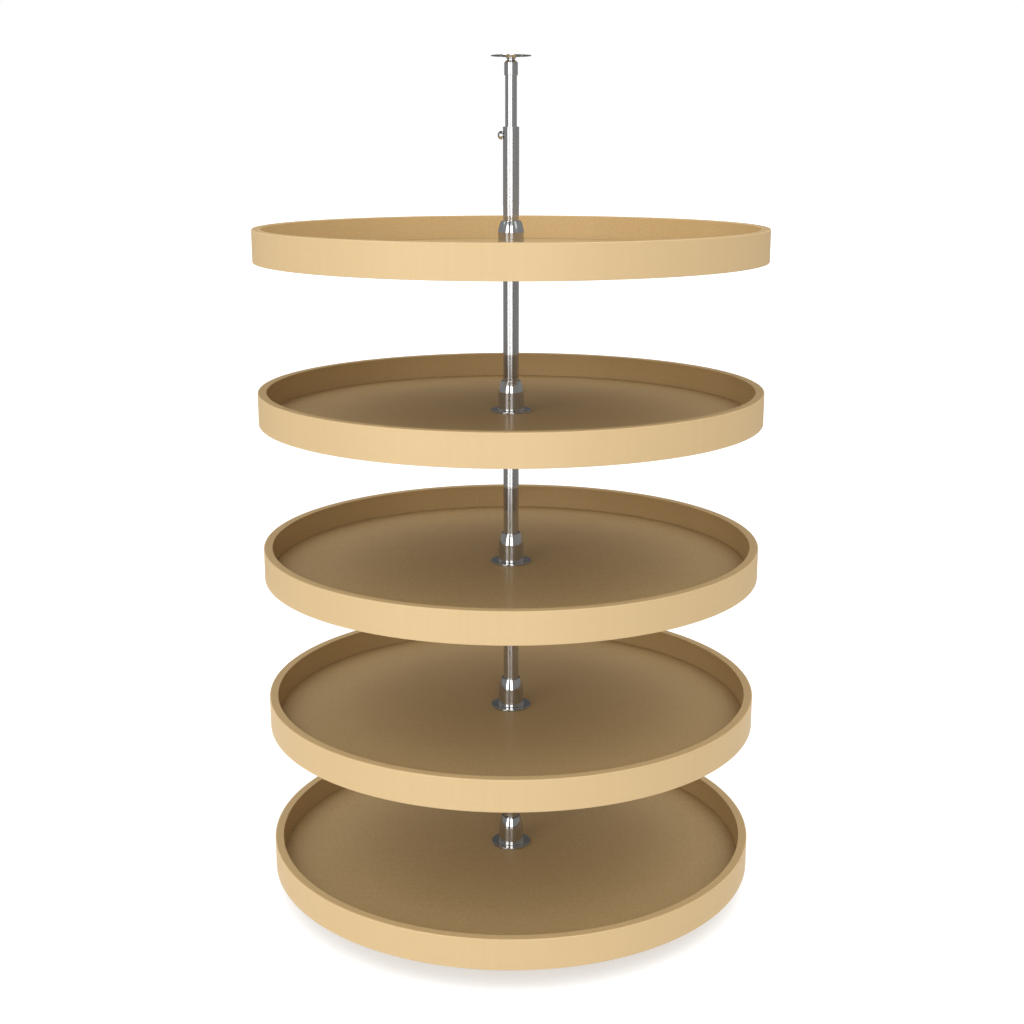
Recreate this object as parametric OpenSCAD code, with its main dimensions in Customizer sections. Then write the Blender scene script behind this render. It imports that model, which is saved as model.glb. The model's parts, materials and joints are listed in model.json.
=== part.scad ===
// Rotating pantry unit: five round wooden trays that turn on a telescoping pole.
// All sizes are in millimetres. +Z is up, and the origin is the middle of the base plate's underside.
// The trays are numbered from the bottom: tray 1 is the lowest and tray 5 the highest.

/* [Trays] */
// Outside diameter of a tray
tray_d = 812.8; // [600:0.1:900]
// Height of the rim band
rim_h = 50.8; // [36:0.1:80]
// Thickness of the rim band
rim_t = 14.5; // [10:0.5:20]
// Radius on the rim's top edges
rim_round = 1.5; // [0.5:0.1:3]
// Thickness of the tray floor
floor_t = 9.5; // [6:0.1:15]
// How far the tray floor runs into the rebate in the rim
rebate = 5; // [2:0.1:7]
// Height of the tray floor's underside above the rim's underside
floor_lift = 0.3; // [0.1:0.1:3]
// Distance from one tray to the next
tray_pitch = 254.6; // [190:0.1:320]
// Gap from the cabinet floor to the lowest rim
floor_gap = 36; // [34:0.5:70]

/* [Hubs] */
// Diameter of the hub's straight body
hub_d = 42; // [39:0.5:48]
// Height of the straight body above the tray floor
hub_h = 32.6; // [24:0.1:45]
// Height of the tapered nose above the straight body
nose_h = 17.8; // [10:0.1:24]
// Diameter of the nose at its top
nose_d = 31.8; // [30:0.1:34]
// Diameter of the flange on the tray floor
flange_d = 67; // [58:0.5:80]
// Thickness of the flange
flange_t = 3; // [2:0.1:5]
// Diameter of the threaded spigot under the flange
spigot_d = 40; // [38:0.5:42]
// Outside diameter of the bearing bush in the hub
bush_d = 32; // [30:0.5:34]
// Diameter of the bush's thrust flange
bush_flange_d = 37; // [35:0.5:40]
// Thickness of the bush's thrust flange
bush_flange_t = 2; // [1:0.1:4]
// Thickness of the nose's roof over the bush
nose_roof = 8; // [6:0.5:12]

/* [Ring nuts] */
// Outside diameter of the ring nut under a tray
nut_d = 60; // [54:0.5:70]
// Thickness of the ring nut
nut_t = 5; // [4:0.1:6]
// Number of spanner notches
nut_notches = 6; // [3:1:8]
// Width of a spanner notch
notch_w = 6; // [4:0.5:8]
// Depth of a spanner notch
notch_depth = 3.5; // [2:0.5:5]
// Length of spigot left below the ring nut
spigot_tail = 1; // [0.5:0.1:2]

/* [Collars] */
// Diameter of the clamping collar under a hub
collar_d = 42; // [38:0.5:50]
// Height of the collar
collar_h = 13; // [11:0.5:14]
// Chamfer on the collar's edges
collar_chamfer = 1; // [0.5:0.1:1.5]
// Diameter of a collar's grub screw
grub_d = 6; // [5:0.5:7]
// Width across the flats of a grub screw's socket
grub_socket = 3; // [2:0.5:3.5]
// Depth of a grub screw's socket
grub_socket_depth = 3.5; // [2:0.5:4]

/* [Pole] */
// Outside diameter of the pole's main tube
pole_d = 25.4; // [24:0.1:26]
// Wall of the main tube
pole_wall = 1.5; // [1:0.1:1.8]
// Length of main tube above the top tray's rim
pole_above = 153.4; // [100:0.1:250]
// Outside diameter of the extension tube
ext_d = 18.2; // [17.4:0.1:19]
// Wall of the extension tube
ext_wall = 1.2; // [1:0.1:1.4]
// Length of extension tube that shows below its end cap
ext_shown = 77; // [60:0.1:140]
// Length of extension tube inside the main tube
ext_inside = 180; // [150:1:260]
// Length of the sleeve that guides the extension tube
sleeve_l = 36; // [26:1:60]

/* [End cap and top mount] */
// Diameter of the end cap
cap_d = 21.1; // [20.6:0.1:24]
// Height of the end cap's straight side
cap_h = 18.8; // [12:0.1:30]
// Height of the end cap's tapered top
cap_taper_h = 3.6; // [2:0.1:5]
// Diameter of the end cap's top face
cap_top_d = 14; // [13.6:0.1:17]
// Diameter of both pivot pins
pivot_d = 12; // [11:0.1:12.2]
// Length of pivot pin that shows above the end cap
pivot_neck = 1.8; // [1:0.1:10]
// Length of pivot pin inside the extension tube
pivot_inside = 26; // [18:1:40]
// Diameter of the pin's flared root under the plate
root_d = 19; // [15:0.1:22]
// Height of the flared root
root_h = 4.5; // [1:0.1:6]
// Diameter of the top plate
top_plate_d = 62.6; // [58:0.1:90]
// Thickness of the top plate
top_plate_t = 1; // [1:0.1:5]
// Pitch circle of the top plate's screw holes
top_holes_pcd = 46; // [38:0.5:50]

/* [Base mount] */
// Diameter of the base plate
base_d = 90; // [84:1:120]
// Thickness of the base plate
base_t = 3; // [2:0.1:4]
// Pitch circle of the base plate's screw holes
base_holes_pcd = 68; // [50:0.5:74]
// Diameter of the boss round the base stud
boss_d = 30; // [26:0.5:34]
// Height of the boss
boss_h = 3; // [2:0.1:4]
// Length of the base stud above the boss
stud_l = 26; // [16:1:40]
// Thickness of the thrust washer on the boss
washer_t = 2; // [1:0.1:2.4]
// Thickness of the foot plug's flange
plug_flange_t = 2; // [1:0.1:2.5]
// Diameter of every screw hole in the two plates
screw_hole_d = 4.6; // [4:0.1:5.5]
// Diameter of the rivet end that holds each pivot pin in its plate
rivet_d = 8; // [6:0.1:9]

/* [Lock screw] */
// Distance of the lock screw below the main tube's top
lock_drop = 12.9; // [10:0.1:16]
// Diameter of the lock screw's head
lock_head_d = 13; // [12:0.1:18]
// Length of the lock screw's head
lock_head_l = 7.5; // [6:0.1:12]
// Radius on the head's outer edge
lock_head_round = 5.5; // [3:0.1:5.5]
// Diameter of the lock screw's shank
lock_shank_d = 6; // [5:0.1:7]
// Gap between the head and the main tube
lock_head_gap = 0.8; // [0.5:0.1:2]
// Width across the flats of the head's socket
lock_socket = 4; // [3:0.5:4]
// Depth of the head's socket
lock_socket_depth = 4; // [2:0.5:5]
// Thickness of the brass pad at the screw's tip
pad_t = 1.3; // [1:0.1:1.4]

/* [Fits] */
// Radial clearance of a turning or sliding fit
running = 0.05; // [0.03:0.01:0.08]
// Radial gap of a fixed or glued fit
seat = 0.03; // [0.02:0.01:0.06]
// Radial gap where a piece only passes through
pass = 0.5; // [0.3:0.1:0.8]

/* [Hidden] */
tray_count = 5;
$fn = 96;

MAPLE = [0.91, 0.79, 0.61];
MAPLE_FLOOR = [0.84, 0.71, 0.52];
CHROME = [0.80, 0.81, 0.83];
ZINC = [0.66, 0.67, 0.69];
NYLON = [0.90, 0.89, 0.86];
BRASS = [0.78, 0.64, 0.34];
BLACK_STEEL = [0.12, 0.12, 0.13];

edge_round = 0.8;         // small radius on turned and cast edges
plate_round = 0.4;        // radius on the top plate's lower edge
arc_steps = 4;            // straight steps in an edge radius
dome_steps = 12;          // straight steps in the lock screw's dome
nose_steps = 8;           // straight steps in the hub's nose
nose_bow = 0.45;          // how far the nose curves from a plain cone
foot_fillet = 1.2;        // radius where the hub meets its flange
over = 1;                 // how far a cut runs past the face that it opens
hole_count = 4;           // screw holes in each plate
first_hole = 45;          // angle of the first screw hole
grub_angle = 90;          // the collars' grub screws face the back
nut_chamfer = 0.8;        // chamfer on the ring nut's lower edge
cap_chamfer = 0.6;        // chamfer on the end cap's lower edge
bore_end = 1.5;           // free length past the end of a pin in its bore
plug_roof = 4;            // solid end of the foot plug over its blind bore
pin_lead = 1;             // chamfer on the free end of a pivot pin
washer_edge = 1;          // how far the boss shows round the thrust washer
bush_head_t = 1.5;        // flange of the pivot bush on the extension tube's end
cap_mouth = 0.3;          // radial gap between the end cap's roof and the pin

// Radii that several pieces share
tray_r = tray_d / 2;
rim_inner_r = tray_r - rim_t;
rebate_r = rim_inner_r + rebate;
pole_r = pole_d / 2;
pole_bore_r = pole_r - pole_wall;
ext_r = ext_d / 2;
ext_bore_r = ext_r - ext_wall;
pivot_r = pivot_d / 2;
hub_r = hub_d / 2;
spigot_r = spigot_d / 2;
bush_r = bush_d / 2;
lock_shank_r = lock_shank_d / 2;
grub_r = grub_d / 2;

// Heights of the base, counted up from the cabinet floor
boss_top = base_t + boss_h;
washer_top = boss_top + washer_t;
pole_bottom = washer_top + plug_flange_t;
stud_top = boss_top + stud_l;

// Heights of the top end
pole_top = floor_gap + (tray_count - 1) * tray_pitch + rim_h + pole_above;
cap_bottom = pole_top + ext_shown;
cap_shoulder = cap_bottom + cap_h;
cap_top = cap_shoulder + cap_taper_h;
pivot_bottom = cap_shoulder - pivot_inside;
ext_top = cap_shoulder - bush_head_t;
ext_bottom = pole_top - ext_inside;
root_bottom = cap_top + pivot_neck;
top_plate_z = root_bottom + root_h;
lock_z = pole_top - lock_drop;

// Heights of one tray, counted from the top face of its floor
nut_bottom = -floor_t - nut_t;
spigot_bottom = nut_bottom - spigot_tail;
collar_top = spigot_bottom - bush_flange_t;
collar_bottom = collar_top - collar_h;
nose_top = hub_h + nose_h;
bush_top = nose_top - nose_roof;

function floor_top(i) = floor_gap + floor_lift + floor_t + (i - 1) * tray_pitch;
function arc(x, z, r, from, to, steps = arc_steps) =
    [for (k = [0 : steps]) let (a = from + (to - from) * k / steps) [x + r * cos(a), z + r * sin(a)]];
function across_corners(flats) = flats / cos(30);

module turned(points) {
    rotate_extrude() polygon(points);
}

// A plain ring between two radii and two heights
module ring(outer, inner, bottom, top) {
    translate([0, 0, bottom]) difference() {
        cylinder(r = outer, h = top - bottom);
        translate([0, 0, -over]) cylinder(r = inner, h = top - bottom + 2 * over);
    }
}

// Screw holes of a mounting plate, cut through its whole thickness
module plate_holes(pcd, bottom, thickness) {
    for (k = [0 : hole_count - 1])
        rotate(first_hole + k * 360 / hole_count)
            translate([pcd / 2, 0, bottom - over]) cylinder(d = screw_hole_d, h = thickness + 2 * over);
}

// The bent band, rounded on its top edges, with a rebate under it for the floor
module rim(i) {
    bottom = floor_top(i) - floor_t - floor_lift;
    top = bottom + rim_h;
    color(MAPLE) turned(concat(
        [[rebate_r, bottom]],
        arc(tray_r - edge_round, bottom + edge_round, edge_round, -90, 0),
        arc(tray_r - rim_round, top - rim_round, rim_round, 0, 90),
        arc(rim_inner_r + rim_round, top - rim_round, rim_round, 90, 180),
        [[rim_inner_r, floor_top(i)], [rebate_r, floor_top(i)]]
    ));
}

module tray_floor(i) {
    color(MAPLE_FLOOR)
        ring(rebate_r - seat, spigot_r + pass, floor_top(i) - floor_t, floor_top(i));
}

// Flange, straight body and bowed nose in one casting, open below for the bush
module hub(i) {
    top_r = nose_d / 2;
    mouth_r = pole_r + pass;
    flange_r = flange_d / 2;
    color(CHROME) translate([0, 0, floor_top(i)]) turned(concat(
        [[bush_r + seat, spigot_bottom], [spigot_r, spigot_bottom], [spigot_r, 0], [flange_r, 0]],
        arc(flange_r - edge_round, flange_t - edge_round, edge_round, 0, 90),
        arc(hub_r + foot_fillet, flange_t + foot_fillet, foot_fillet, -90, -180),
        [for (k = [0 : nose_steps]) let (t = k / nose_steps)
            [hub_r - (hub_r - top_r) * ((1 - nose_bow) * t + nose_bow * t * t),
             hub_h + (nose_h - edge_round) * t]],
        arc(top_r - edge_round, nose_top - edge_round, edge_round, 0, 90),
        [[mouth_r, nose_top], [mouth_r, bush_top], [bush_r + seat, bush_top]]
    ));
}

// Nylon bearing: its sleeve turns on the pole and its flange turns on the collar
module hub_bush(i) {
    bore = pole_r + running;
    color(NYLON) translate([0, 0, floor_top(i)]) turned([
        [bore, collar_top], [bush_flange_d / 2, collar_top], [bush_flange_d / 2, spigot_bottom],
        [bush_r, spigot_bottom], [bush_r, bush_top], [bore, bush_top]
    ]);
}

module ring_nut(i) {
    nut_r = nut_d / 2;
    color(ZINC) translate([0, 0, floor_top(i)]) difference() {
        turned([
            [spigot_r + seat, nut_bottom], [nut_r - nut_chamfer, nut_bottom],
            [nut_r, nut_bottom + nut_chamfer], [nut_r, -floor_t], [spigot_r + seat, -floor_t]
        ]);
        for (k = [0 : nut_notches - 1])
            rotate(k * 360 / nut_notches)
                translate([nut_r - notch_depth, -notch_w / 2, nut_bottom - over])
                    cube([notch_depth + over, notch_w, nut_t + 2 * over]);
    }
}

module collar(i) {
    collar_r = collar_d / 2;
    bore = pole_r + running;
    color(ZINC) translate([0, 0, floor_top(i)]) difference() {
        turned([
            [bore, collar_bottom], [collar_r - collar_chamfer, collar_bottom],
            [collar_r, collar_bottom + collar_chamfer], [collar_r, collar_top - collar_chamfer],
            [collar_r - collar_chamfer, collar_top], [bore, collar_top]
        ]);
        rotate(grub_angle) translate([0, 0, collar_bottom + collar_h / 2])
            rotate([0, 90, 0]) cylinder(r = grub_r + seat, h = collar_r + over);
    }
}

// Grub screw with a hexagon socket, tightened on to the pole
module collar_screw(i) {
    tip = pole_r + running;
    length = collar_d / 2 - collar_chamfer - tip;
    color(BLACK_STEEL) translate([0, 0, floor_top(i)])
        rotate(grub_angle) translate([tip, 0, collar_bottom + collar_h / 2]) rotate([0, 90, 0])
            difference() {
                cylinder(r = grub_r, h = length);
                translate([0, 0, length - grub_socket_depth])
                    cylinder(d = across_corners(grub_socket), h = grub_socket_depth + over, $fn = 6);
            }
}

module base_plate() {
    color(CHROME) difference() {
        union() {
            turned(concat(
                [[0, 0]], [[base_d / 2, 0]],
                arc(base_d / 2 - edge_round, base_t - edge_round, edge_round, 0, 90),
                [[0, base_t]]
            ));
            translate([0, 0, base_t - over]) cylinder(d = boss_d, h = boss_h + over);
        }
        translate([0, 0, -over]) cylinder(r = rivet_d / 2 + seat, h = boss_top + 2 * over);
        plate_holes(base_holes_pcd, 0, base_t);
    }
}

// Stud that the pole stands on, riveted into the base plate
module base_stud() {
    color(CHROME) turned([
        [0, seat], [rivet_d / 2, seat], [rivet_d / 2, boss_top], [pivot_r, boss_top],
        [pivot_r, stud_top - pin_lead], [pivot_r - pin_lead, stud_top], [0, stud_top]
    ]);
}

module thrust_washer() {
    color(NYLON) ring(boss_d / 2 - washer_edge, pivot_r + running, boss_top, washer_top);
}

// Plug pressed into the foot of the pole, bored blind for the stud
module foot_plug() {
    bore_top = stud_top + bore_end;
    plug_top = bore_top + plug_roof;
    bore = pivot_r + running;
    color(ZINC) turned([
        [bore, washer_top], [pole_r, washer_top], [pole_r, pole_bottom],
        [pole_bore_r - seat, pole_bottom], [pole_bore_r - seat, plug_top], [0, plug_top],
        [0, bore_top], [bore, bore_top]
    ]);
}

// A hole across a wall for the lock screw, on the pole's left side
module lock_hole(r) {
    translate([0, 0, lock_z]) rotate([0, -90, 0]) cylinder(r = r, h = pole_r + over);
}

module pole_tube() {
    color(CHROME) difference() {
        ring(pole_r, pole_bore_r, pole_bottom, pole_top);
        lock_hole(lock_shank_r + running);
    }
}

// Sleeve in the pole's mouth that guides the extension tube and takes the lock screw's thread
module guide_sleeve() {
    color(ZINC) difference() {
        ring(pole_bore_r - seat, ext_r + running, pole_top - sleeve_l, pole_top);
        lock_hole(lock_shank_r + running);
    }
}

module extension_tube() {
    color(CHROME) ring(ext_r, ext_bore_r, ext_bottom, ext_top);
}

module end_cap() {
    bore = ext_r + seat;
    mouth = pivot_r + cap_mouth;
    color(CHROME) turned([
        [bore, cap_bottom], [cap_d / 2 - cap_chamfer, cap_bottom], [cap_d / 2, cap_bottom + cap_chamfer],
        [cap_d / 2, cap_shoulder], [cap_top_d / 2, cap_top], [mouth, cap_top],
        [mouth, cap_shoulder], [bore, cap_shoulder]
    ]);
}

module pivot_bush() {
    bore = pivot_r + running;
    color(NYLON) turned([
        [bore, pivot_bottom], [ext_bore_r - seat, pivot_bottom], [ext_bore_r - seat, ext_top],
        [ext_r - seat, ext_top], [ext_r - seat, cap_shoulder], [bore, cap_shoulder]
    ]);
}

// Pin that the pole turns on, flared where it is riveted under the plate
module top_pivot_pin() {
    rivet_top = top_plate_z + top_plate_t - seat;
    color(CHROME) turned([
        [0, pivot_bottom], [pivot_r - pin_lead, pivot_bottom], [pivot_r, pivot_bottom + pin_lead],
        [pivot_r, root_bottom],
        [root_d / 2, top_plate_z], [rivet_d / 2, top_plate_z], [rivet_d / 2, rivet_top], [0, rivet_top]
    ]);
}

module top_plate() {
    color(CHROME) translate([0, 0, top_plate_z]) difference() {
        turned(concat(
            [[0, 0]],
            arc(top_plate_d / 2 - plate_round, plate_round, plate_round, -90, 0),
            [[top_plate_d / 2, top_plate_t], [0, top_plate_t]]
        ));
        translate([0, 0, -over]) cylinder(r = rivet_d / 2 + seat, h = top_plate_t + 2 * over);
        plate_holes(top_holes_pcd, 0, top_plate_t);
    }
}

// Round-headed screw that clamps the extension tube, drawn along its own axis
module lock_screw() {
    tip = ext_r + running + pad_t;
    head_base = pole_r + lock_head_gap;
    head_end = head_base + lock_head_l;
    head_r = lock_head_d / 2;
    color(CHROME) translate([0, 0, lock_z]) rotate([0, -90, 0]) difference() {
        turned(concat(
            [[0, tip], [lock_shank_r, tip], [lock_shank_r, head_base], [head_r, head_base]],
            arc(head_r - lock_head_round, head_end - lock_head_round, lock_head_round, 0, 90, dome_steps),
            [[0, head_end]]
        ));
        translate([0, 0, head_end - lock_socket_depth])
            cylinder(d = across_corners(lock_socket), h = lock_socket_depth + over, $fn = 6);
    }
}

// Brass pad between the screw's tip and the extension tube
module lock_pad() {
    color(BRASS) translate([0, 0, lock_z]) rotate([0, -90, 0])
        translate([0, 0, ext_r + running]) cylinder(r = lock_shank_r - 2 * running, h = pad_t);
}

base_plate();
base_stud();
thrust_washer();
pole_tube();
foot_plug();
guide_sleeve();
extension_tube();
end_cap();
pivot_bush();
top_plate();
top_pivot_pin();
lock_screw();
lock_pad();
for (i = [1 : tray_count]) {
    rim(i);
    tray_floor(i);
    hub(i);
    hub_bush(i);
    ring_nut(i);
    collar(i);
    collar_screw(i);
}
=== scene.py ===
# %% [markdown]
# # A rotating pantry unit, dressed for its picture
# Five round maple trays turn on a telescoping chrome pole. The construction is fixed before this lesson
# starts: every piece already has its size, its place and the body that it moves with. What is left is
# how it looks.
#
# The lesson makes each visible piece again as a smooth surface, worked out as whole arrays of points,
# and lets it stand for the piece in the frame. Most pieces here are turned or bent to a circle, so one
# idea carries the whole object: an outline of radius and height, taken round the pole's axis.

# %% Load the frame
import json
import math

import bpy
import numpy as np
from mathutils import Matrix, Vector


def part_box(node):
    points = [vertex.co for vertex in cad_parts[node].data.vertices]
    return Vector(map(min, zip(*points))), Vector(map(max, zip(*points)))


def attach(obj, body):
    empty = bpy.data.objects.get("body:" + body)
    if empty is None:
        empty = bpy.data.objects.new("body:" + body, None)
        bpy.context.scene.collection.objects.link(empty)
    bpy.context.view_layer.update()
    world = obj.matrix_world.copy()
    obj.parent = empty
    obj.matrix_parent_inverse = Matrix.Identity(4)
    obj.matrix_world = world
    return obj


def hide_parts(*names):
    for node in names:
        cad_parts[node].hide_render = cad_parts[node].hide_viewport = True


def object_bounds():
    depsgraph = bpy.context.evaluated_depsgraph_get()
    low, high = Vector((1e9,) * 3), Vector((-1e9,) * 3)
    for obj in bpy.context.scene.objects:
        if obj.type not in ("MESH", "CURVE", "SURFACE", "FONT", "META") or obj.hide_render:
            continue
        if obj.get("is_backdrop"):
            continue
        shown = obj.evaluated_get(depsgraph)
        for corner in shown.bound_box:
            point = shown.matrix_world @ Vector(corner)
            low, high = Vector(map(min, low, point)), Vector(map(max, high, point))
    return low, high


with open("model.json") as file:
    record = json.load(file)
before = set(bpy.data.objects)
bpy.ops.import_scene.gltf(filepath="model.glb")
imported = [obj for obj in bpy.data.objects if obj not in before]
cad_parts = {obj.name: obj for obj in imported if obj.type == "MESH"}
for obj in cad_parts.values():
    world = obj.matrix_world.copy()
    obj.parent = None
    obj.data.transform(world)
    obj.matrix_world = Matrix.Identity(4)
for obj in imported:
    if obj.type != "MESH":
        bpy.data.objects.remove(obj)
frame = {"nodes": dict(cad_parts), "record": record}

cad_low, cad_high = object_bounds()
home = {node: body for body, nodes in frame["record"]["behaviour"]["bodies"].items() for node in nodes}

# %% [markdown]
# ## Sizes that several pieces share
# The frame gives each piece's box, so most sizes are read from there. A box doesn't tell a wall's
# thickness or the rounding of an edge, so those few are named here, in metres, with the same values as
# in the construction.

# %% Shared sizes
MM = 0.001
TRAYS = range(1, 6)
RUNNING = 0.05 * MM      # radial clearance of a turning or sliding fit
SEAT = 0.03 * MM         # radial gap of a fixed fit
PASS = 0.5 * MM          # radial gap where a piece only passes through
EDGE = 0.8 * MM          # radius on turned and cast edges
BREAK = 0.25 * MM        # the least rounding, on edges that only had their burr taken off


def reach(node):
    """The largest radius of a round node, and the heights of its bottom and top."""
    low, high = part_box(node)
    return high.x, low.z, high.z


pole_r, pole_bottom, pole_top = reach("pole_tube")
floor_thick = reach("tray_floor_1")[2] - reach("tray_floor_1")[1]
floor_top = {i: reach(f"tray_floor_{i}")[2] for i in TRAYS}
print("tray floors at", [round(z, 4) for z in floor_top.values()], "pole radius", round(pole_r, 4))

# %% [markdown]
# ## Materials made of nodes
# A finish is a Principled shader whose colour, roughness and bump vary a little from place to place, as
# real surfaces do. Nodes that are placed and linked one at a time would fill pages. So small helpers
# keep the recipes short: one makes the material with its constant values, one adds a node and wires its
# inputs in the same line, and the others are the few steps that several recipes share. A noise that is
# squeezed in one direction becomes grain, and a noise left alone becomes speckle.

# %% Helpers for materials
def finish(name, **constants):
    """A new material and its Principled shader, with values that are the same all over the surface."""
    made = bpy.data.materials.new(name)
    made.use_nodes = True
    shader = made.node_tree.nodes["Principled BSDF"]
    for socket, value in constants.items():
        shader.inputs[socket.replace("_", " ")].default_value = value
    return made, shader


def wired(tree, kind, inputs=None, **settings):
    """A new node. Each input is either another node's output, which is linked, or a plain value."""
    node = tree.nodes.new(kind)
    for setting, value in settings.items():
        setattr(node, setting, value)
    for socket, value in (inputs or {}).items():
        if isinstance(value, bpy.types.NodeSocket):
            tree.links.new(value, node.inputs[socket])
        else:
            node.inputs[socket].default_value = value
    return node


def noise(tree, where, stretch, detail=3.0, roughness=0.55):
    """Noise from 0 to 1. Each number of stretch is how many patches lie in a metre in that direction."""
    scaled = wired(tree, "ShaderNodeMapping", {"Vector": where, "Scale": stretch})
    inputs = {"Vector": scaled.outputs["Vector"], "Scale": 1.0, "Detail": detail, "Roughness": roughness}
    return wired(tree, "ShaderNodeTexNoise", inputs).outputs["Fac"]


def remap(tree, value, low, high, start=0.3, end=0.7):
    """Spreads a noise's middle stretch, from start to end, over low to high."""
    inputs = {"Value": value, "From Min": start, "From Max": end, "To Min": low, "To Max": high}
    return wired(tree, "ShaderNodeMapRange", inputs).outputs["Result"]


MIX_SHARE, MIX_FIRST, MIX_SECOND, MIX_RESULT = 0, 6, 7, 2   # sockets of a Mix node that mixes colours


def tinted(tree, share, first, second):
    """Colour between two colours or outputs: share 0 gives the first and 1 the second."""
    mix = wired(tree, "ShaderNodeMix", {MIX_SHARE: share}, data_type="RGBA")
    for socket, colour in ((MIX_FIRST, first), (MIX_SECOND, second)):
        if isinstance(colour, bpy.types.NodeSocket):
            tree.links.new(colour, mix.inputs[socket])
        else:
            mix.inputs[socket].default_value = (*colour, 1.0)
    return mix.outputs[MIX_RESULT]


def stained(tree, wood, pattern, most, colour, start=0.3, end=0.7):
    """Lets a pattern bring up to this share of another colour into the wood."""
    return tinted(tree, remap(tree, pattern, 0.0, most, start, end), wood, colour)


def multiplied(tree, first, second):
    """Two colour outputs multiplied, part by part."""
    inputs = {MIX_SHARE: 1.0, MIX_FIRST: first, MIX_SECOND: second}
    return wired(tree, "ShaderNodeMix", inputs, data_type="RGBA", blend_type="MULTIPLY").outputs[MIX_RESULT]


def ramp(tree, value, stops):
    """Colours along a value from 0 to 1. A stop is its place and its colour."""
    made = wired(tree, "ShaderNodeValToRGB", {"Fac": value})
    band = made.color_ramp.elements
    band[0].position = stops[0][0]
    band[1].position = stops[-1][0]
    for place, _ in stops[1:-1]:
        band.new(place)
    for stop, (_, colour) in zip(band, stops):
        stop.color = (*colour, 1.0)
    return made.outputs["Color"]


def embossed(tree, shader, height, strength, depth):
    """Lets a pattern tilt the light on the surface, as a relief of the given depth in metres would."""
    bump = wired(tree, "ShaderNodeBump", {"Height": height, "Strength": strength, "Distance": depth})
    tree.links.new(bump.outputs["Normal"], shader.inputs["Normal"])


finishes = {}

# %% [markdown]
# ## Maple for the rims
# A rim is a maple strip, steamed and bent round a drum, so its grain runs along the hoop and never
# across it. A pattern on plain coordinates would cut straight through the hoop. The surface therefore
# carries its own UV map, in metres: U walks along the hoop and V across it, up the outer face, over the
# top and down the inner face. Long streaks give the grain and short fine ones the pores, and upright
# bands paint faint shade, like the light on flat facets. All of them are faint, because lacquered maple
# is calm wood. The top edge and the inner face are darkened by painted shade, since less light reaches
# them than the outer face, and V tells where one passes into the other.

# %% Rim maple
RIM_LIGHT = (0.745, 0.537, 0.283)
RIM_DARK = (0.707, 0.505, 0.262)
PORE = (0.58, 0.38, 0.19)
OUTER_TONE = (1.0, 1.0, 1.0)       # painted shade multiplies the colour: none on the outer face
TOP_PAINTED_SHADE = (0.61, 0.59, 0.54)      # painted shade of the top edge, where less light falls
INNER_PAINTED_SHADE = (0.85, 0.83, 0.775)   # painted shade of the inner face, which the rim and the tray above shade
SPECK_TONE = (0.69, 0.68, 0.62)    # and that of the inner face's dark specks
HOOP = 120.0             # length of the ramp across the hoop, in millimetres of V
PAINTED_SHADE_STOPS = [                # places in millimetres of V where the painted shade changes
    (58.5, OUTER_TONE), (62.0, TOP_PAINTED_SHADE), (71.5, TOP_PAINTED_SHADE), (75.0, INNER_PAINTED_SHADE)]
SPECKS_START, SPECKS_FULL = 60 * MM, 74 * MM   # V where the specks set in, and where they are full
STREAKS = (4.0, 300.0, 1.0)        # patches a metre along the hoop, across it and in depth: long streaks
FACET_SHADE_BANDS = (75.0, 1.5, 1.0)           # upright bands of painted shade, like the light on flat facets
PORES = (60.0, 1900.0, 1.0)        # short, fine pores
SPECKS = (330.0, 330.0, 1.0)       # round specks


def rim_maple():
    """Streaks, bands of painted shade and pores stain the wood a little, then painted shade follows V across
    the hoop.
    """
    made, shader = finish("rim_maple", Roughness=0.5, Specular_IOR_Level=0.2,
                          Coat_Weight=0.03, Coat_Roughness=0.3)
    tree = made.node_tree
    place = wired(tree, "ShaderNodeUVMap", uv_map="UVMap").outputs["UV"]
    across = wired(tree, "ShaderNodeSeparateXYZ", {"Vector": place}).outputs["Y"]
    streaks = noise(tree, place, STREAKS, detail=4.0)
    pores = noise(tree, place, PORES, detail=2.0)
    bands = noise(tree, place, FACET_SHADE_BANDS, detail=3.0)
    specks = noise(tree, place, SPECKS, detail=2.0, roughness=0.7)
    wood = stained(tree, RIM_LIGHT, streaks, 0.25, RIM_DARK)
    # painted shade: upright bands darken the wood a little, as light on flat facets would
    wood = stained(tree, wood, bands, 0.45, RIM_DARK)
    wood = stained(tree, wood, pores, 0.06, PORE, start=0.4, end=0.8)
    # painted shade: the top edge and the inner face are darkened along V, where less light reaches them
    walked = remap(tree, across, 0.0, 1.0, start=0.0, end=HOOP * MM)
    painted_shade = ramp(tree, walked, [(spot / HOOP, colour) for spot, colour in PAINTED_SHADE_STOPS])
    inside = remap(tree, across, 0.0, 1.0, start=SPECKS_START, end=SPECKS_FULL)
    dots = remap(tree, specks, 0.0, 1.0)
    specked = wired(tree, "ShaderNodeMath", {0: inside, 1: dots}, operation="MULTIPLY")
    painted_shade = tinted(tree, specked.outputs[0], painted_shade, SPECK_TONE)
    tree.links.new(multiplied(tree, wood, painted_shade), shader.inputs["Base Color"])
    tree.links.new(remap(tree, streaks, 0.50, 0.58), shader.inputs["Roughness"])
    embossed(tree, shader, pores, strength=0.12, depth=0.05 * MM)
    return made


finishes["rim_wood"] = rim_maple()

# %% [markdown]
# ## Maple for the tray floors
# The floor is a flat sawn panel, so its grain runs straight across the whole tray and plain coordinates
# suit it. It is darker than the rim, partly as its own wood and partly as painted shade of the kind that
# the tray above casts, and shows fine even specks under its lacquer. The lacquer is a thin, smooth coat
# on the shader, which lets the floor mirror the bright hub faintly while the wood itself stays dull.

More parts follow.
